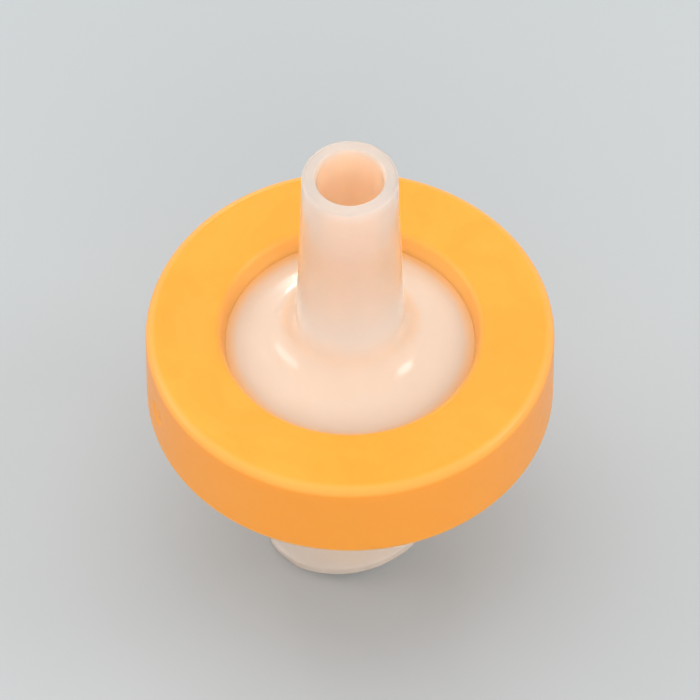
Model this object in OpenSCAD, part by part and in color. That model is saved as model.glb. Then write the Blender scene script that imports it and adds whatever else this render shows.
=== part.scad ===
// Overmoulded syringe filter, 13 mm class.
// Two natural polypropylene discs clamp a thin membrane. One disc carries a
// female Luer-lock hub, the other a male Luer slip tip, and a coloured ring
// of C section is moulded round both rims.
// Frame: +Z runs from the inlet to the outlet, the origin is the centre of
// the inlet hub's flat mouth, and the filter stands on that mouth.

/* [Ring] */
// Outer diameter of the overmoulded ring
ring_d = 17.2; // [16.6:0.1:18.4]
// Height of the ring between its two flat faces
ring_h = 4.4; // [4.2:0.1:5.2]
// Rounding of the ring's outer edges
ring_edge_r = 0.45; // [0.2:0.05:0.7]
// Diameter of each opening where it meets the disc's face
window_d = 10.5; // [10.2:0.1:11.2]
// How much wider, in radius, each opening is at the ring's face
window_flare = 0.25; // [0.1:0.05:0.5]
// Rounding of each opening's outer edge
window_edge_r = 0.2; // [0.05:0.05:0.25]
// Thickness of the ring's lip over each disc's rim
lip_t = 1.3; // [1.2:0.05:1.4]

/* [Discs] */
// Diameter of the two clamping discs, inside the ring
disc_d = 14.8; // [14.4:0.1:15.2]
// How far each disc's visible face lies below the ring's face
face_recess = 0.9; // [0.4:0.05:1.1]
// Height of the low cone between a disc's face and its tube
cone_h = 0.5; // [0.3:0.05:0.9]
// Diameter of the foot of that cone
cone_d = 9.7; // [9.0:0.1:10.0]

/* [Membrane] */
// Diameter of the membrane
membrane_d = 13; // [12.8:0.1:13.2]
// Thickness of the membrane
membrane_t = 0.15; // [0.1:0.01:0.2]
// Diameter of the wetted area
wetted_d = 11.3; // [11:0.1:11.6]

/* [Inlet hub] */
// Length of the hub from its mouth to the ring's face
hub_len = 8.3; // [8.0:0.1:9.0]
// Outside diameter of the hub at its mouth
hub_d = 6.0; // [5.9:0.05:6.2]
// Outside diameter of the hub at its root
hub_root_d = 6.3; // [6.25:0.05:6.6]
// Fillet radius at the hub's root
hub_fillet = 0.9; // [0.5:0.05:1.1]
// Female Luer socket diameter at the mouth, 6 percent taper
socket_d = 4.3; // [4.27:0.01:4.315]
// Depth of the Luer socket
socket_depth = 7.6; // [7.5:0.1:7.8]
// Diameter of the channel from the socket to the membrane
inlet_hole_d = 1.8; // [1.2:0.1:2.2]
// Crest diameter of the Luer-lock thread
thread_d = 7.8; // [7.73:0.01:7.83]
// Lead of the double-start thread
thread_lead = 5; // [4.9:0.1:5.1]
// Length of each thread start, in turns
thread_turns = 1.08; // [0.8:0.02:1.2]
// Width of the thread's crest
thread_crest_w = 0.5; // [0.35:0.05:0.7]
// Width of the thread at its root
thread_root_w = 1.2; // [1.0:0.05:1.4]

/* [Outlet tip] */
// Length of the tip from the ring's face to its end
tip_len = 10.2; // [9.8:0.1:11]
// Male Luer tip diameter at its end, 6 percent taper
tip_d = 4.0; // [3.93:0.01:4.03]
// Bore diameter at the tip's end
tip_bore_d = 2.8; // [2.4:0.1:2.9]
// Bore diameter at the tip's root
tip_bore_root_d = 2.3; // [2.0:0.1:2.4]
// Diameter of the hole from the membrane side into the bore
outlet_hole_d = 1.8; // [1.2:0.1:1.9]
// Fillet radius at the tip's root
tip_fillet = 1.9; // [0.8:0.05:2.1]

/* [Ribs] */
// Number of flow ribs on the inlet disc
inlet_ribs = 8; // [6:2:12]
// Number of membrane support ribs on the outlet disc
outlet_ribs = 12; // [8:2:16]
// Width of a rib
rib_w = 0.4; // [0.3:0.05:0.5]

/* [Hidden] */
$fn = 96;
natural_pp = [0.93, 0.89, 0.85];
orange_pp = [1.0, 0.62, 0.22];
white = [0.98, 0.98, 0.97];
taper = 0.03;                       // 6 percent on diameter, per radius
eps = 0.01;
z_ring0 = hub_len;
z_ring1 = hub_len + ring_h;
z_mid = (z_ring0 + z_ring1) / 2;
z_end = z_ring1 + tip_len;
z_lip0 = z_ring0 + lip_t;
z_lip1 = z_ring1 - lip_t;
z_in = z_ring0 + face_recess;       // visible face of the inlet disc
z_out = z_ring1 - face_recess;      // visible face of the outlet disc
z_m0 = z_mid - membrane_t / 2;
z_m1 = z_mid + membrane_t / 2;
r_win = window_d / 2;
r_disc = disc_d / 2;
r_pocket = membrane_d / 2 + 0.05;
r_wet = wetted_d / 2;
socket_r1 = socket_d / 2 - taper * socket_depth;
chamber_h = 0.28;
thread_steps = 54;

// Points of an arc about (cx, cy) from angle a0 to a1.
function arc(cx, cy, r, a0, a1, n = 8) =
    [for (i = [0:n]) let (a = a0 + (a1 - a0) * i / n) [cx + r * cos(a), cy + r * sin(a)]];

// Fillet between a tube wall and the low cone at its root. tube_r is the
// wall's radius there, up is 1 where the tube rises and -1 where it hangs.
function cone_z(r) = cone_h * (cone_d / 2 - r) / (cone_d / 2 - 3);
function root_fillet(tube_r, face_z, f, up, n = 8) =
    let (slope = atan(cone_h / (cone_d / 2 - 3)),
         cx = tube_r + f,
         cz = cone_z(cx) + f / cos(slope),
         pts = [for (i = [0:n]) let (a = 180 + (90 - slope) * i / n)
                [cx + f * cos(a), face_z + up * (cz + f * sin(a))]])
    pts;

// ---------------------------------------------------------------- thread
// One start of the thread: a round-shouldered trapezoid swept along a
// right-hand helix. It rises out of the mouth's plane, so the mouth cuts it
// off square, and its far end runs out into the hub wall.
module thread_start(turn) {
    r_in = hub_d / 2 - 0.25;
    wc = thread_crest_w / 2;
    wr = thread_root_w / 2;
    function run(t) = t > 0.88 ? max(0.02, 1 - (t - 0.88) / 0.12) : 1;
    function zc(t) = -wr + t * thread_turns * thread_lead;
    function ring_pts(t) =
        let (a = turn + t * thread_turns * 360,
             r = hub_d / 2 + run(t) * (thread_d - hub_d) / 2,
             rs = r - 0.14 * run(t))
        [for (p = [[r_in, -wr - 0.1], [rs, -wc - 0.05], [r, -wc + 0.1],
                   [r, wc - 0.1], [rs, wc + 0.05], [r_in, wr + 0.1]])
            [p[0] * cos(a), p[0] * sin(a), zc(t) + p[1]]];
    m = 6;
    pts = [for (i = [0:thread_steps]) each ring_pts(i / thread_steps)];
    last = m * thread_steps;
    sides = [for (i = [0:thread_steps - 1], j = [0:m - 1])
        let (a = m * i + j, b = m * i + (j + 1) % m, c = b + m, d = a + m)
        each [[a, b, d], [b, c, d]]];
    caps = [for (j = [1:m - 2]) each [[0, j + 1, j], [last, last + j, last + j + 1]]];
    polyhedron(points = pts, faces = concat(sides, caps), convexity = 6);
}

module thread() {
    intersection() {
        union() {
            thread_start(0);
            thread_start(180);
        }
        cylinder(r = thread_d / 2 + 1, h = hub_len - 1);
    }
}

// --------------------------------------------------------------- housings
module inlet_profile() {
    fil = root_fillet(hub_root_d / 2, z_in, hub_fillet, -1);
    polygon(concat(
        [[socket_d / 2 + 0.15, 0], [hub_d / 2 - 0.12, 0], [hub_d / 2, 0.12]],
        fil,
        [[cone_d / 2, z_in], [r_win, z_in], [r_win, z_lip0], [r_disc, z_lip0],
         [r_disc, z_mid], [r_pocket, z_mid], [r_pocket, z_m0], [r_wet, z_m0],
         [r_wet, z_m0 - chamber_h * 0.6], [inlet_hole_d / 2 + 0.35, z_m0 - chamber_h],
         [inlet_hole_d / 2, z_m0 - chamber_h - 0.3],
         [inlet_hole_d / 2, socket_depth], [socket_r1 - 0.1, socket_depth],
         [socket_r1, socket_depth - 0.1], [socket_d / 2 - taper * 0.15, 0.15]]));
}

module inlet_housing() {
    color(natural_pp) {
        rotate_extrude() inlet_profile();
        thread();
        for (i = [0:inlet_ribs - 1]) rotate([0, 0, (i + 0.5) * 360 / inlet_ribs])
            translate([1.9, -rib_w / 2, z_m0 - chamber_h - 0.1])
                cube([r_wet - 1.9 + 0.05, rib_w, chamber_h]);
    }
}

module outlet_profile() {
    base_r = tip_d / 2 + taper * (tip_len + face_recess);
    fil = root_fillet(base_r, z_out, tip_fillet, 1, 12);
    n = len(fil);
    fil_up = [for (i = [0:n - 1]) fil[n - 1 - i]];
    polygon(concat(
        [[outlet_hole_d / 2, z_m1 + chamber_h + 0.3], [outlet_hole_d / 2 + 0.35, z_m1 + chamber_h],
         [r_wet, z_m1 + chamber_h * 0.6], [r_wet, z_m1], [r_pocket, z_m1],
         [r_pocket, z_mid], [r_disc, z_mid], [r_disc, z_lip1], [r_win, z_lip1],
         [r_win, z_out], [cone_d / 2, z_out]],
        fil_up,
        [[tip_d / 2 + taper * 0.2, z_end - 0.2], [tip_d / 2 - 0.03, z_end - 0.08],
         [tip_d / 2 - 0.12, z_end],
         [tip_bore_d / 2 + 0.12, z_end], [tip_bore_d / 2, z_end - 0.15],
         [tip_bore_root_d / 2, z_ring1 + 0.3], [outlet_hole_d / 2, z_ring1]]));
}

module outlet_housing() {
    color(natural_pp) {
        rotate_extrude() outlet_profile();
        for (i = [0:outlet_ribs - 1]) rotate([0, 0, i * 360 / outlet_ribs])
            translate([1.6, -rib_w / 2, z_m1])
                cube([r_wet - 1.6 + 0.05, rib_w, chamber_h + 0.1]);
        for (r = [2.6, 4.3])
            rotate_extrude() translate([r, z_m1 + 0.08]) square([rib_w, chamber_h]);
    }
}

// --------------------------------------------------------------- membrane
module membrane() {
    color(white)
        translate([0, 0, z_m0]) cylinder(d = membrane_d, h = membrane_t);
}

// ------------------------------------------------------------------- ring
// Each opening is straight where it holds the disc and flares out above the
// disc's face.
module ring_profile() {
    ro = ring_d / 2;
    e = ring_edge_r;
    w = window_edge_r;
    slope = atan(face_recess / window_flare);
    rw = r_win + window_flare + w * tan(slope / 2);
    polygon(concat(
        arc(ro - e, z_ring0 + e, e, -90, 0),
        arc(ro - e, z_ring1 - e, e, 0, 90),
        arc(rw, z_ring1 - w, w, 90, 90 + slope, 5),
        [[r_win, z_out], [r_win, z_lip1], [r_disc, z_lip1],
         [r_disc, z_lip0], [r_win, z_lip0], [r_win, z_in]],
        arc(rw, z_ring0 + w, w, 270 - slope, 270, 5)));
}

module outer_ring() {
    color(orange_pp) rotate_extrude() ring_profile();
}

inlet_housing();
outlet_housing();
membrane();
outer_ring();
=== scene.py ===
import math

import bpy
import numpy as np
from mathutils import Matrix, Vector


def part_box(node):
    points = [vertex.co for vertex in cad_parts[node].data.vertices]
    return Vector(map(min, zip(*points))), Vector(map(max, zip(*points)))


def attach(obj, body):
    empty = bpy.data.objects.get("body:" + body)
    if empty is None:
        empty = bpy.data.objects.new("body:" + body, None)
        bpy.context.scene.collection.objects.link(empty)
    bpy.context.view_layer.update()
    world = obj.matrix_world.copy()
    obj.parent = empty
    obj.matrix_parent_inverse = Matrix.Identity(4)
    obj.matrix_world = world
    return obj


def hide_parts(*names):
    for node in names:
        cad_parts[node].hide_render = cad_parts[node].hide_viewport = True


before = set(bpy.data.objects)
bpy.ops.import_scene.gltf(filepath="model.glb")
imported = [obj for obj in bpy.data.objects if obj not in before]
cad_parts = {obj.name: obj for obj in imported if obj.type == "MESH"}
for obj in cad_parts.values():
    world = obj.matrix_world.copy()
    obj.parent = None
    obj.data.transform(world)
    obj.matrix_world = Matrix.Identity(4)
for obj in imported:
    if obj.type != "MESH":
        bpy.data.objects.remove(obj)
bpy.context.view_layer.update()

MM = 0.001

# ------------------------------------------------------------------ sizes, mm
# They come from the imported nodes' own boxes; the rest repeats part.scad.
lo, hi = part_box("outer_ring")
RING_R = 8.6
Z0, Z1 = round(lo.z / MM, 3), round(hi.z / MM, 3)      # the ring's two faces
EDGE_R = 0.45
WIN_R, WIN_FLARE, WIN_EDGE = 5.25, 0.25, 0.2
LIP = 1.3
DISC_R = round(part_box("inlet_housing")[1].x / MM, 2)
RECESS = 0.9
CONE_H, CONE_R = 0.5, 4.85
MEM_R = round(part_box("membrane")[1].x / MM, 2)
MEM_T = 0.15
WET_R = 5.65
POCKET_R = 6.55
HUB_R0, HUB_R1, HUB_FILLET = 3.0, 3.15, 0.9
SOCKET_R, SOCKET_D, TAPER = 2.15, 7.6, 0.03
HOLE_R = 0.9
THREAD_R, LEAD, TURNS = 3.9, 5.0, 1.08
CREST_W, ROOT_W = 0.5, 1.2
TIP_R = 2.0
TIP_BORE_R, TIP_BORE_R0, TIP_FILLET = 1.4, 1.15, 1.9
Z_END = round(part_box("outlet_housing")[1].z / MM, 3)
Z_MID = (Z0 + Z1) / 2
ZM0, ZM1 = Z_MID - MEM_T / 2, Z_MID + MEM_T / 2
CHAMBER = 0.28
GAP = 0.008                     # hairline between the pieces
TUCK = 0.03                     # how far the ring is bonded into a disc's face


# ------------------------------------------------------- profiles and meshes
def unit(v):
    return v / max(np.linalg.norm(v), 1e-12)


def profile(corners, support=0.035):
    """Closed (r, z) profile in mm from corners (r, z, rounding, arc steps, step, tag).
    step and tag belong to the straight that leaves the corner. Straights get a
    loop close to each rounding, so that flats shade flat."""
    n = len(corners)
    arcs = []
    for i in range(n):
        p0, p1, p2 = (np.array(corners[k % n][:2], float) for k in (i - 1, i, i + 1))
        rad, steps = corners[i][2], corners[i][3]
        if rad <= 0:
            arcs.append([p1])
            continue
        v1, v2 = unit(p0 - p1), unit(p2 - p1)
        half = math.acos(max(-1.0, min(1.0, float(v1 @ v2)))) / 2
        d = rad / math.tan(half)
        centre = p1 + unit(v1 + v2) * rad / math.sin(half)
        a, b = p1 + v1 * d - centre, p1 + v2 * d - centre
        a0 = math.atan2(a[1], a[0])
        turn = (math.atan2(b[1], b[0]) - a0 + math.pi) % (2 * math.pi) - math.pi
        arcs.append([centre + rad * np.array([math.cos(a0 + turn * k / steps),
                                              math.sin(a0 + turn * k / steps)])
                     for k in range(steps + 1)])
    pts, tags = [], []
    for i in range(n):
        step, tag = corners[i][4], corners[i][5]
        for p in arcs[i]:
            pts.append(p)
            tags.append(tag if len(arcs[i]) == 1 else "arc%d" % i)
        a, b = arcs[i][-1], arcs[(i + 1) % n][0]
        length = np.linalg.norm(b - a)
        if length < 1e-6:
            continue
        inner = []
        if length > 3 * support:
            inner += [support, length - support]
        count = int(math.ceil(length / step)) if step else 1
        inner += [length * k / count for k in range(1, count)
                  if support * 1.6 < length * k / count < length - support * 1.6]
        for s in sorted(inner):
            pts.append(a + (b - a) * s / length)
            tags.append(tag)
    return np.array(pts), tags


def thetas(n, spots=()):
    """n even angles, with finer ones within half_deg of each (angle, half_deg, step_deg)."""
    out = [360.0 * k / n for k in range(n)]
    for centre, half, step in spots:
        out = [a for a in out if abs((a - centre + 180) % 360 - 180) > half + 0.5 * step]
        m = int(round(2 * half / step))
        out += [(centre - half + 2 * half * k / m) % 360 for k in range(m + 1)]
    return np.radians(np.array(sorted(out)))


def revolve(name, pts, theta, move=None):
    """Revolves a closed profile that runs with the solid on its left. move(r, z,
    theta) may shift points before they are placed."""
    m, n = len(pts), len(theta)
    r = np.repeat(pts[:, 0][:, None], n, 1)
    z = np.repeat(pts[:, 1][:, None], n, 1)
    t = np.repeat(theta[None, :], m, 0)
    if move is not None:
        r, z = move(r, z, t)
    co = np.stack([r * np.cos(t), r * np.sin(t), z], -1).reshape(-1, 3) * MM
    i, j = np.meshgrid(np.arange(m), np.arange(n), indexing="ij")
    a = i * n + j
    b = i * n + (j + 1) % n
    c = ((i + 1) % m) * n + (j + 1) % n
    d = ((i + 1) % m) * n + j
    quads = np.stack([a, b, c, d], -1).reshape(-1, 4)
    area = 0.5 * np.sum(pts[:, 0] * np.roll(pts[:, 1], -1) - np.roll(pts[:, 0], -1) * pts[:, 1])
    if area < 0:                      # clockwise profile: turn the faces out
        quads = quads[:, ::-1]
    mesh = bpy.data.meshes.new(name)
    mesh.vertices.add(len(co))
    mesh.vertices.foreach_set("co", co.astype(np.float32).ravel())
    mesh.loops.add(quads.size)
    mesh.loops.foreach_set("vertex_index", quads.ravel().astype(np.int32))
    mesh.polygons.add(len(quads))
    mesh.polygons.foreach_set("loop_start", np.arange(0, quads.size, 4, dtype=np.int32))
    mesh.polygons.foreach_set("use_smooth", np.ones(len(quads), bool))
    mesh.update(calc_edges=True)
    mesh.validate()
    obj = bpy.data.objects.new(name, mesh)
    bpy.context.scene.collection.objects.link(obj)
    return obj


def smooth(x):
    x = np.clip(x, 0.0, 1.0)
    return x * x * (3 - 2 * x)


# -------------------------------------------------------------- inlet housing
def thread_height(t, z):
    """Height of the double-start thread above the hub's wall, in mm."""
    total = np.zeros_like(z)
    for start in (0.0, math.pi):
        for lap in (0, 1):
            phi = (t - start) % (2 * math.pi) / (2 * math.pi) + lap  # turns along it
            share = phi / TURNS
            centre = -ROOT_W / 2 + phi * LEAD
            out = 1 - smooth((share - 0.87) / 0.13)
            d = np.abs(z - centre)
            half_crest = CREST_W / 2 - 0.10
            half_root = ROOT_W / 2 + 0.10
            shape = 1 - smooth((d - half_crest) / (half_root - half_crest))
            total = np.maximum(total, shape * out * (share <= 1))
    return total


def inlet():
    zi = Z0 + RECESS
    slope = CONE_H / (CONE_R - 3.0)
    def cone(r):
        return zi - slope * (CONE_R - r)
    s1 = SOCKET_R - TAPER * SOCKET_D
    corners = [
        # r, z, rounding, arc steps, step, tag
        (SOCKET_R + 0.15, 0.0, 0.0, 0, 0.12, "mouth"),
        (HUB_R0, 0.0, 0.12, 7, 0.045, "hub"),
        (HUB_R0 + 0.105, 5.6, 0.0, 0, 0.15, "hubtop"),
        (HUB_R1, cone(HUB_R1), HUB_FILLET, 16, 0.3, "cone"),
        (CONE_R, zi, 1.5, 5, 0.3, "face"),
        (WIN_R + TUCK, zi, 0.0, 0, 0.4, "wall"),
        (WIN_R + TUCK, Z0 + LIP + GAP, 0.0, 0, 0.4, "lip"),
        (DISC_R - GAP, Z0 + LIP + GAP, 0.12, 5, 0.4, "rim"),
        (DISC_R - GAP, Z_MID - GAP / 2, 0.06, 3, 0.4, "mate"),
        (POCKET_R, Z_MID - GAP / 2, 0.03, 3, 0.1, "pocket"),
        (POCKET_R, ZM0 - GAP / 4, 0.01, 2, 0.3, "land"),
        (WET_R, ZM0 - GAP / 4, 0.03, 3, 0.1, "chamber_wall"),
        (WET_R, ZM0 - CHAMBER * 0.6, 0.05, 4, 0.14, "chamber"),
        (HOLE_R + 0.35, ZM0 - CHAMBER, 0.1, 4, 0.1, "funnel"),
        (HOLE_R, ZM0 - CHAMBER - 0.3, 0.1, 4, 0.25, "channel"),
        (HOLE_R, SOCKET_D, 0.12, 5, 0.2, "floor"),
        (s1, SOCKET_D, 0.18, 6, 0.25, "socket"),
        (SOCKET_R - TAPER * 0.15, 0.15, 0.06, 4, 0.1, "entry"),
    ]
    pts, tags = profile(corners)
    index = {tag: np.array([k for k, t in enumerate(tags) if t == tag])
             for tag in set(tags)}
    mouth = index["mouth"]
    corner = index["arc1"]
    hub = np.concatenate([index["hub"], index["hubtop"]])
    chamber = index["chamber"]
    r_in, r_out = SOCKET_R + 0.2, pts[corner[0], 0]
    z_corner = pts[corner[-1], 1]

    def move(r, z, t):
        r, z = r.copy(), z.copy()
        high = THREAD_R - (HUB_R0 + 0.02)
        at = thread_height(t[:1], np.full_like(t[:1], z_corner)) * high
        r[hub] += thread_height(t[hub], z[hub]) * high
        r[corner] += at
        r[mouth] += at * smooth((pts[mouth, 0][:, None] - r_in) / (r_out - r_in))
        # flow ribs in the chamber
        step = 2 * math.pi / 8
        away = np.abs((t[chamber] - step / 2 + step / 2) % step - step / 2) * r[chamber]
        rib = (1 - smooth((away - 0.14) / 0.12)) * smooth((r[chamber] - 1.7) / 0.3)
        z[chamber] += (ZM0 - 0.1 - z[chamber]) * rib
        return r, z

    return revolve("inlet_housing_body", pts, thetas(288), move)


# ------------------------------------------------------------- outlet housing
def outlet():
    zo = Z1 - RECESS
    slope = CONE_H / (CONE_R - 3.0)
    def cone(r):
        return zo + slope * (CONE_R - r)
    base = TIP_R + TAPER * (Z_END - zo)
    # where the tapered wall meets the cone
    rb = base - TAPER * 0.75
    corners = [
        (HOLE_R, ZM1 + CHAMBER + 0.3, 0.1, 4, 0.1, "funnel"),
        (HOLE_R + 0.35, ZM1 + CHAMBER, 0.1, 4, 0.14, "chamber"),
        (WET_R, ZM1 + CHAMBER * 0.6, 0.05, 4, 0.1, "chamber_wall"),
        (WET_R, ZM1 + GAP / 4, 0.03, 3, 0.3, "land"),
        (POCKET_R, ZM1 + GAP / 4, 0.01, 2, 0.1, "pocket"),
        (POCKET_R, Z_MID + GAP / 2, 0.03, 3, 0.4, "mate"),
        (DISC_R - GAP, Z_MID + GAP / 2, 0.06, 3, 0.4, "rim"),
        (DISC_R - GAP, Z1 - LIP - GAP, 0.12, 5, 0.4, "lip"),
        (WIN_R + TUCK, Z1 - LIP - GAP, 0.0, 0, 0.4, "wall"),
        (WIN_R + TUCK, zo, 0.0, 0, 0.3, "face"),
        (CONE_R, zo, 1.5, 5, 0.3, "cone"),
        (rb, cone(rb), TIP_FILLET, 22, 0.25, "tip"),
        (TIP_R, Z_END, 0.14, 8, 0.12, "rim_face"),
        (TIP_BORE_R + 0.08, Z_END, 0.08, 5, 0.1, "entry"),
        (TIP_BORE_R, Z_END - 0.25, 0.2, 5, 0.3, "bore"),
        (TIP_BORE_R0, Z1 + 0.3, 0.1, 5, 0.2, "step"),
        (HOLE_R, Z1, 0.1, 4, 0.25, "channel"),
    ]
    pts, tags = profile(corners)
    chamber = np.array([k for k, t in enumerate(tags) if t == "chamber"])

    def move(r, z, t):
        z = z.copy()
        step = 2 * math.pi / 12
        rr = r[chamber]
        away = np.abs((t[chamber] + step / 2) % step - step / 2) * rr
        rib = (1 - smooth((away - 0.14) / 0.12)) * smooth((rr - 1.45) / 0.25)
        for at in (2.8, 4.5):
            rib = np.maximum(rib, 0.8 * (1 - smooth((np.abs(rr - at) - 0.14) / 0.14)))
        z[chamber] += (ZM1 + 0.01 - z[chamber]) * rib
        return r, z

    return revolve("outlet_housing_body", pts, thetas(288), move)


# ----------------------------------------------------------------- outer ring
GATE_DEG = 207.0


def ring():
    dip = TUCK * WIN_FLARE / RECESS
    corners = [
        (RING_R, Z0, EDGE_R, 12, 0.11, "side"),
        (RING_R, Z1, EDGE_R, 12, 0.35, "top"),
        (WIN_R + WIN_FLARE, Z1, WIN_EDGE + 0.15, 9, 0.12, "slope1"),
        (WIN_R - dip, Z1 - RECESS - TUCK, 0.0, 0, 0.25, "window1"),
        (WIN_R - dip, Z1 - LIP, 0.0, 0, 0.5, "lip1"),
        (DISC_R, Z1 - LIP, 0.10, 5, 0.5, "web"),
        (DISC_R, Z0 + LIP, 0.10, 5, 0.5, "lip0"),
        (WIN_R - dip, Z0 + LIP, 0.0, 0, 0.25, "window0"),
        (WIN_R - dip, Z0 + RECESS + TUCK, 0.0, 0, 0.12, "slope0"),
        (WIN_R + WIN_FLARE, Z0, WIN_EDGE + 0.15, 9, 0.35, "bottom"),
    ]
    pts, tags = profile(corners)
    side = np.array([k for k, t in enumerate(tags) if t == "side"])
    gate = math.radians(GATE_DEG)

    def move(r, z, t):
        # a shallow dimple with the sheared gate in it, and the mould's joint line
        r = r.copy()
        dt = (t[side] - gate + math.pi) % (2 * math.pi) - math.pi
        d = np.hypot(dt * RING_R, z[side] - Z_MID)
        r[side] -= 0.09 * (1 - smooth((d - 0.42) / 0.22))
        r[side] += 0.06 * (1 - smooth((d - 0.20) / 0.10))
        line = np.abs(z[side] - (Z0 + 0.62))
        r[side] -= 0.012 * (1 - smooth(line / 0.10))
        return r, z

    return revolve("outer_ring_body", pts, thetas(300, [(GATE_DEG, 6.0, 0.4)]), move)


# ------------------------------------------------------------------- membrane
def membrane():
    """The filter disc: flat where it is pinched, dimpled into the support ribs'
    gaps where the flow presses it."""
    rings = np.concatenate([[0.0, 0.35], np.arange(0.7, WET_R, 0.17), [WET_R, 5.9, 6.2, MEM_R - 0.05]])
    n = 192
    t = np.radians(np.arange(n) * 360.0 / n)
    step = 2 * math.pi / 12
    verts, faces = [], []

    def dish(r, a):
        away = abs((a + step / 2) % step - step / 2) * r
        free = float(smooth((away - 0.16) / 0.35) * (1 - smooth((r - WET_R + 0.5) / 0.45)) * smooth((r - 1.0) / 0.5))
        for at in (2.8, 4.5):
            free *= float(smooth((abs(r - at) - 0.12) / 0.25))
        return 0.045 * free

    def sheet(z, sign):
        first = len(verts)
        verts.append((0.0, 0.0, z))
        for r in rings[1:]:
            for a in t:
                verts.append((r * math.cos(a), r * math.sin(a), z + dish(r, a)))
        for j in range(n):
            k = (j + 1) % n
            tri = (first, first + 1 + j, first + 1 + k)
            faces.append(tri if sign > 0 else tri[::-1])
            for i in range(len(rings) - 2):
                a0, a1 = first + 1 + i * n, first + 1 + (i + 1) * n
                quad = (a0 + j, a1 + j, a1 + k, a0 + k)
                faces.append(quad if sign > 0 else quad[::-1])
        return first + 1 + (len(rings) - 2) * n

    top = sheet(ZM1 - 0.004, 1)
    bottom = sheet(ZM0 + 0.004, -1)
    edge = len(verts)
    for a in t:
        verts.append((MEM_R * math.cos(a), MEM_R * math.sin(a), Z_MID))
    for j in range(n):
        k = (j + 1) % n
        faces.append((top + k, top + j, edge + j, edge + k))
        faces.append((bottom + j, bottom + k, edge + k, edge + j))
    mesh = bpy.data.meshes.new("membrane_disc")
    mesh.from_pydata([(x * MM, y * MM, z * MM) for x, y, z in verts], [], faces)
    mesh.polygons.foreach_set("use_smooth", [True] * len(mesh.polygons))
    mesh.update()
    obj = bpy.data.objects.new("membrane_disc", mesh)
    bpy.context.scene.collection.objects.link(obj)
    return obj


# ------------------------------------------------------------------ materials
class Tree:
    """A few short words for building a node tree."""

    def __init__(self, name):
        self.material = bpy.data.materials.new(name)
        self.material.use_nodes = True
        self.nodes = self.material.node_tree.nodes
        self.links = self.material.node_tree.links
        self.nodes.clear()
        self.out = self.nodes.new("ShaderNodeOutputMaterial")
        self.shader = self.nodes.new("ShaderNodeBsdfPrincipled")
        self.links.new(self.shader.outputs[0], self.out.inputs["Surface"])
        coord = self.nodes.new("ShaderNodeTexCoord")
        scale = self.nodes.new("ShaderNodeVectorMath")
        scale.operation = "SCALE"
        scale.inputs["Scale"].default_value = 1000.0
        self.links.new(coord.outputs["Object"], scale.inputs[0])
        self.mm = scale.outputs[0]                      # the piece's own place, in mm
        split = self.nodes.new("ShaderNodeSeparateXYZ")
        self.links.new(self.mm, split.inputs[0])
        self.x, self.y, self.z = split.outputs
        self.radius = self.math("SQRT", self.math("ADD", self.math("MULTIPLY", self.x, self.x),
                                                  self.math("MULTIPLY", self.y, self.y)))

    def put(self, socket, value):
        if isinstance(value, bpy.types.NodeSocket):
            self.links.new(value, socket)
        else:
            socket.default_value = value

    def math(self, op, a, b=0.0, clamp=False):
        node = self.nodes.new("ShaderNodeMath")
        node.operation = op
        node.use_clamp = clamp
        self.put(node.inputs[0], a)
        self.put(node.inputs[1], b)
        return node.outputs[0]

    def ramp(self, value, a, b, c=0.0, d=1.0):
        """value from a to b becomes c to d, smoothly, and stays there outside."""
        node = self.nodes.new("ShaderNodeMapRange")
        node.interpolation_type = "SMOOTHSTEP"
        self.put(node.inputs["Value"], value)
        for name, v in zip(("From Min", "From Max", "To Min", "To Max"), (a, b, c, d)):
            node.inputs[name].default_value = v
        return node.outputs["Result"]

    def linear(self, value, a, b, c=0.0, d=1.0):
        node = self.nodes.new("ShaderNodeMapRange")
        self.put(node.inputs["Value"], value)
        for name, v in zip(("From Min", "From Max", "To Min", "To Max"), (a, b, c, d)):
            node.inputs[name].default_value = v
        return node.outputs["Result"]

    def noise(self, scale, detail=3.0, rough=0.5, distort=0.0, stretch=None):
        node = self.nodes.new("ShaderNodeTexNoise")
        node.inputs["Scale"].default_value = scale
        node.inputs["Detail"].default_value = detail
        node.inputs["Roughness"].default_value = rough
        node.inputs["Distortion"].default_value = distort
        place = self.mm
        if stretch:
            mapping = self.nodes.new("ShaderNodeMapping")
            mapping.inputs["Scale"].default_value = stretch
            self.links.new(self.mm, mapping.inputs["Vector"])
            place = mapping.outputs[0]
        self.links.new(place, node.inputs["Vector"])
        return node.outputs[0]

    def mix(self, factor, a, b, mode="MIX"):
        node = self.nodes.new("ShaderNodeMix")
        node.data_type = "RGBA"
        node.blend_type = mode
        node.clamp_factor = True
        self.put(node.inputs["Factor"], factor)
        colours = [s for s in node.inputs if s.type == "RGBA"]
        self.put(colours[0], a)
        self.put(colours[1], b)
        return [s for s in node.outputs if s.type == "RGBA"][0]

    def bump(self, height, strength, distance_mm, normal=None):
        node = self.nodes.new("ShaderNodeBump")
        node.inputs["Strength"].default_value = strength
        node.inputs["Distance"].default_value = distance_mm * MM
        self.put(node.inputs["Height"], height)
        if normal is not None:
            self.links.new(normal, node.inputs["Normal"])
        return node.outputs[0]


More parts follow.
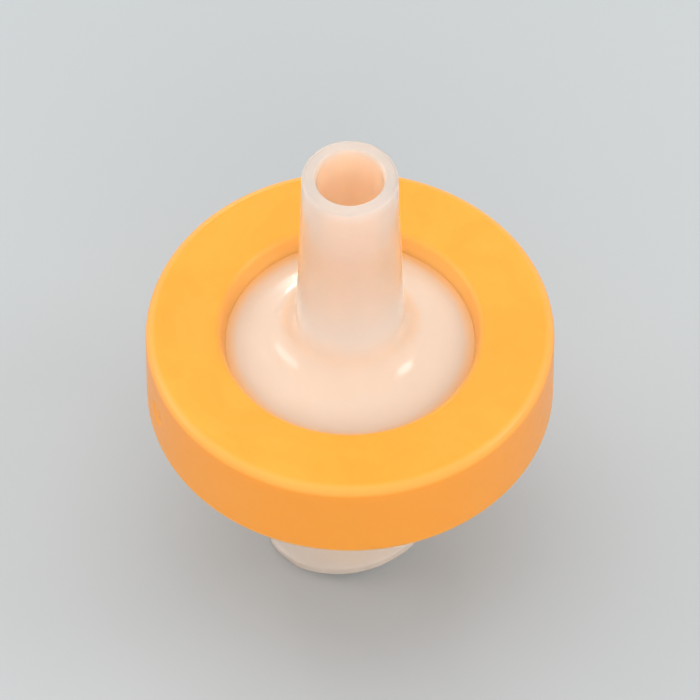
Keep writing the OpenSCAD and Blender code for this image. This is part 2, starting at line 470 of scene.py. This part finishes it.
def natural_pp():
    """Natural, unpigmented polypropylene: milky and see-through where it is thin, with
    a clean moulded gloss. It clouds a little. Light and shade are painted into its
    colour by place: painted light on the hub, the tube's root and rim and the socket,
    painted shade on the discs, the bore and the thread's valleys, and a painted orange
    glow from the ring along the opening's edge."""
    t = Tree("milky_polypropylene")
    s = t.shader
    cloud = t.noise(0.45, 3.0, 0.55, 0.5)
    fine = t.noise(2.0, 2.0, 0.5)
    body = t.mix(t.linear(cloud, 0.3, 0.7), (0.98, 0.812, 0.675, 1), (0.995, 0.852, 0.73, 1))
    body = t.mix(t.linear(fine, 0.3, 0.7, 0.0, 0.12), body, (0.95, 0.76, 0.61, 1))
    # painted light: the hub is painted lighter where it sits in the ring's shadow; the tube's root and rim are
    # painted lighter, and the bore gets a painted deeper, warmer peach shade
    # painted light: the hub's colour is lifted to offset the ring's shadow on it
    hub = t.ramp(t.z, Z0 - 0.6, Z0 - 3.0)
    body = t.mix(t.math("MULTIPLY", hub, 0.6), body, (1.0, 0.885, 0.775, 1))
    # painted light: the tube's lower part is painted whiter to lift the shade where it meets the disc
    root = t.math("MULTIPLY", t.ramp(t.z, Z1 + 7.0, Z1 + 2.0), t.ramp(t.z, Z1 - 0.2, Z1 + 2.0))
    body = t.mix(t.math("MULTIPLY", root, 0.9), body, (1.0, 0.94, 0.87, 1))
    # painted highlight: the tube's rim is painted whiter
    rim = t.ramp(t.z, Z_END - 0.7, Z_END - 0.1)
    body = t.mix(t.math("MULTIPLY", rim, 0.7), body, (1.0, 0.93, 0.86, 1))
    # painted shade: the bore is painted a deeper, warmer peach
    bore = t.math("MULTIPLY", t.ramp(t.radius, TIP_BORE_R + 0.12, TIP_BORE_R - 0.05),
                  t.ramp(t.z, Z1 + 0.2, Z1 + 1.0))
    body = t.mix(t.math("MULTIPLY", bore, 0.8), body, (1.0, 0.70, 0.475, 1))
    # painted light: the socket is painted lighter, as if light gathered in it; painted shade in bands along the
    # thread's valleys stands for the thread showing through its wall
    # painted light: lighter colour inside the socket
    socket = t.math("MULTIPLY", t.ramp(t.radius, SOCKET_R + 0.25, SOCKET_R - 0.05),
                    t.ramp(t.z, SOCKET_D + 0.4, SOCKET_D - 0.4))
    body = t.mix(t.math("MULTIPLY", socket, 0.75), body, (1.0, 0.93, 0.86, 1))
    # painted shade: darker bands in the thread's valleys, outside and seen through the socket's wall
    turn = t.math("MULTIPLY", t.math("ARCTAN2", t.y, t.x), LEAD / (2 * math.pi))
    pitch = t.math("FLOORED_MODULO", t.math("SUBTRACT", t.math("ADD", t.z, ROOT_W / 2), turn), LEAD / 2)
    valley = t.math("SUBTRACT", LEAD / 4, t.math("ABSOLUTE", t.math("SUBTRACT", pitch, LEAD / 4)))
    painted_thread_shade = t.math("MULTIPLY", t.ramp(valley, 0.35, 0.95), t.ramp(t.z, LEAD * TURNS, LEAD * TURNS - 1.2))
    body = t.mix(t.math("MULTIPLY", painted_thread_shade, 0.45), body, (0.96, 0.72, 0.54, 1))
    in_disc = t.math("MULTIPLY", t.ramp(t.z, Z0 - 0.9, Z0 + 0.3), t.ramp(t.z, Z1 + 2.4, Z1 - 0.1))
    # painted shade: the discs, away from the tube, are painted a darker, warmer peach to hold down the light falling
    # on them from above
    painted_disc_shade = t.math("MULTIPLY", in_disc, t.ramp(t.radius, 1.5, 2.1))
    body = t.mix(t.math("MULTIPLY", painted_disc_shade, 0.85), body, (0.885, 0.655, 0.485, 1))
    # painted light: an orange glow from the ring is painted along the discs' edge at the opening, where the
    # subsurface scattering is turned down
    painted_ring_glow = t.math("MULTIPLY", in_disc, t.ramp(t.radius, 4.6, 5.3))
    body = t.mix(t.math("MULTIPLY", painted_ring_glow, 0.95), body, (1.0, 0.50, 0.15, 1))
    t.put(s.inputs["Subsurface Weight"], t.linear(painted_ring_glow, 0.0, 1.0, 1.0, 0.1))
    t.put(s.inputs["Base Color"], body)
    # the thicker it is, the less comes through
    thin = t.math("MAXIMUM", t.ramp(t.z, Z1 + 0.3, Z_END - 3.0, 0.26, 0.52),
                  t.ramp(t.z, Z0 - 0.3, Z0 - 3.0, 0.26, 0.46))
    clear = t.math("MULTIPLY", t.linear(in_disc, 0.0, 1.0, 1.0, 0.4), thin)
    t.put(s.inputs["Transmission Weight"], clear)
    t.put(s.inputs["Roughness"], t.linear(t.noise(0.8, 4.0, 0.6, 0.4), 0.3, 0.7, 0.18, 0.25))
    # a slow moulded unevenness, faint flow lines along the tubes, no grain
    lines = t.noise(1.6, 2.0, 0.5, 0.0, (1.0, 1.0, 0.10))
    n1 = t.bump(lines, 0.5, 0.004)
    n2 = t.bump(t.noise(0.7, 2.0, 0.5), 0.5, 0.012, n1)
    t.links.new(n2, s.inputs["Normal"])
    t.links.new(n2, s.inputs["Coat Normal"])
    s.subsurface_method = "BURLEY"
    s.inputs["IOR"].default_value = 1.49
    s.inputs["Subsurface Radius"].default_value = (1.0, 0.90, 0.82)
    s.inputs["Subsurface Scale"].default_value = 2.8 * MM
    s.inputs["Coat Weight"].default_value = 0.6
    s.inputs["Coat Roughness"].default_value = 0.10
    s.inputs["Coat IOR"].default_value = 1.49
    return t.material


def orange_pp():
    """Orange pigmented polypropylene from the overmould: satin, finely grained,
    slightly soft in the light, with faint flow clouding from the gate."""
    t = Tree("orange_polypropylene")
    s = t.shader
    flow = t.noise(0.28, 4.0, 0.55, 1.6)
    fine = t.noise(2.2, 3.0, 0.55)
    body = t.mix(t.linear(flow, 0.35, 0.65), (0.99, 0.372, 0.025, 1), (1.0, 0.404, 0.034, 1))
    body = t.mix(t.linear(fine, 0.35, 0.7, 0.0, 0.15), body, (0.96, 0.338, 0.020, 1))
    # painted shade and highlight: the side is painted a deeper orange, and the rounded outer edges are painted
    # lighter as a painted highlight
    tall = t.math("ABSOLUTE", t.math("SUBTRACT", t.z, Z_MID))
    # painted shade: the ring's side is painted a deeper orange
    side = t.math("MULTIPLY", t.ramp(t.radius, RING_R - 0.25, RING_R - 0.03),
                  t.ramp(tall, (Z1 - Z0) / 2 - 0.25, (Z1 - Z0) / 2 - 0.45))
    body = t.mix(t.math("MULTIPLY", side, 0.8), body, (1.0, 0.338, 0.016, 1))
    # painted highlight: the rounded outer edges are painted a lighter orange
    edge = t.math("MULTIPLY", t.ramp(t.radius, RING_R - EDGE_R, RING_R - 0.22),
                  t.ramp(tall, (Z1 - Z0) / 2 - EDGE_R, (Z1 - Z0) / 2 - 0.22))
    body = t.mix(t.math("MULTIPLY", edge, 0.35), body, (1.0, 0.50, 0.14, 1))
    # painted light: the thin edge of the opening over the white discs is painted paler, for the light it takes from
    # them
    thin = t.ramp(t.radius, WIN_R + WIN_FLARE + 0.25, WIN_R - 0.05)
    body = t.mix(t.math("MULTIPLY", thin, 0.75), body, (1.0, 0.52, 0.15, 1))
    t.put(s.inputs["Base Color"], body)
    rough = t.linear(t.noise(1.6, 5.0, 0.62), 0.3, 0.7, 0.36, 0.46)
    t.put(s.inputs["Roughness"], rough)
    n1 = t.bump(t.noise(6.0, 2.0, 0.5), 0.5, 0.003)
    n2 = t.bump(t.noise(0.6, 2.0, 0.5), 0.5, 0.012, n1)
    t.links.new(n2, s.inputs["Normal"])
    t.links.new(n2, s.inputs["Coat Normal"])
    s.inputs["IOR"].default_value = 1.49
    s.subsurface_method = "BURLEY"
    s.inputs["Subsurface Weight"].default_value = 0.7
    s.inputs["Subsurface Radius"].default_value = (1.0, 0.45, 0.15)
    s.inputs["Subsurface Scale"].default_value = 1.1 * MM
    s.inputs["Coat Weight"].default_value = 0.16
    s.inputs["Coat Roughness"].default_value = 0.17
    s.inputs["Coat IOR"].default_value = 1.49
    return t.material


def membrane_white():
    """Microporous membrane: bright matt white with a felted surface."""
    t = Tree("filter_membrane")
    s = t.shader
    felt = t.noise(9.0, 5.0, 0.7)
    body = t.mix(t.linear(felt, 0.3, 0.7), (0.93, 0.93, 0.915, 1), (0.985, 0.985, 0.975, 1))
    t.put(s.inputs["Base Color"], body)
    t.put(s.inputs["Roughness"], t.linear(felt, 0.3, 0.7, 0.75, 0.95))
    t.links.new(t.bump(felt, 0.6, 0.012), s.inputs["Normal"])
    s.inputs["Specular IOR Level"].default_value = 0.25
    return t.material


PP, ORANGE, WHITE = natural_pp(), orange_pp(), membrane_white()

for piece, node, slot, material in (
    (inlet(), "inlet_housing", "natural_pp", PP),
    (outlet(), "outlet_housing", "natural_pp", PP),
    (membrane(), "membrane", "membrane_white", WHITE),
    (ring(), "outer_ring", "orange_pp", ORANGE),
):
    piece.data.materials.append(material)
    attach(piece, "root")
    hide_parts(node)


# ---------------------------------------------------------------------- stage
def floor_material():
    t = Tree("floor_grey")
    s = t.shader
    speck = t.noise(0.02, 4.0, 0.5)
    s.inputs["Roughness"].default_value = 0.85
    s.inputs["Specular IOR Level"].default_value = 0.2
    t.put(s.inputs["Base Color"], t.mix(speck, (0.500, 0.517, 0.521, 1), (0.520, 0.537, 0.541, 1)))
    return t.material


bpy.ops.mesh.primitive_plane_add(size=6.0, location=(0, 0, 0))
floor = bpy.context.object
floor.name = "floor"
floor.data.materials.append(floor_material())

scene = bpy.context.scene
world = bpy.data.worlds.new("studio")
scene.world = world
world.use_nodes = True
w = world.node_tree
w.nodes.clear()
out = w.nodes.new("ShaderNodeOutputWorld")
back = w.nodes.new("ShaderNodeBackground")
back.inputs["Color"].default_value = (0.95, 0.98, 1.0, 1)
back.inputs["Strength"].default_value = 0.80
w.links.new(back.outputs[0], out.inputs["Surface"])


def area(name, place, aim, size, level, colour=(1, 1, 1), size_y=None, mirrored=True):
    """A soft light. level is the brightness it alone gives a white surface facing it
    at aim, with 1 as white. One that isn't mirrored leaves no highlight."""
    data = bpy.data.lights.new(name, "AREA")
    data.shape = "RECTANGLE" if size_y else "DISK"
    data.size = size
    if size_y:
        data.size_y = size_y
    gap = (Vector(aim) - Vector(place)).length
    data.energy = level * math.pi * math.pi * gap * gap
    data.color = colour
    obj = bpy.data.objects.new(name, data)
    obj.location = place
    obj.rotation_mode = "QUATERNION"
    obj.rotation_quaternion = (Vector(aim) - Vector(place)).to_track_quat("-Z", "Y")
    obj.visible_glossy = mirrored
    scene.collection.objects.link(obj)
    return obj


aim = (0, 0, 0.011)
area("key_top", (-0.06, 0.12, 0.43), aim, 0.56, 0.39, (1.0, 0.995, 0.985),
     mirrored=False)
area("window_back", (-0.17, 0.43, 0.205), aim, 0.10, 0.06, (1.0, 1.0, 1.0), size_y=0.045)
area("rim_left", (-0.42, 0.02, 0.22), aim, 0.30, 0.13, (1.0, 1.0, 1.0), size_y=0.12)
area("fill_front", (0.10, -0.425, 0.23), aim, 0.44, 0.285, (1.0, 0.995, 0.99), size_y=0.26,
     mirrored=False)
area("strip_right", (0.33, 0.02, 0.24), aim, 0.13, 0.12, (1.0, 1.0, 1.0), size_y=0.11)

# --------------------------------------------------------------------- camera
ELEV, AZIM, DIST, FIELD = 52.5, 8.0, 0.45, 0.0295
target = Vector((0, 0, 0.0112))
a, e = math.radians(AZIM), math.radians(ELEV)
back_v = Vector((math.sin(a) * math.cos(e), -math.cos(a) * math.cos(e), math.sin(e)))
cam_data = bpy.data.cameras.new("camera")
cam = bpy.data.objects.new("camera", cam_data)
scene.collection.objects.link(cam)
cam_data.sensor_width = 36.0
cam_data.lens = 36.0 * DIST / FIELD
cam_data.clip_start, cam_data.clip_end = 0.01, 20.0
cam.location = target + back_v * DIST
cam.rotation_mode = "QUATERNION"
cam.rotation_quaternion = (-back_v).to_track_quat("-Z", "Y")
scene.camera = cam

scene.view_settings.view_transform = "Standard"
scene.view_settings.look = "None"
scene.view_settings.exposure = 0.0
scene.view_settings.gamma = 1.0
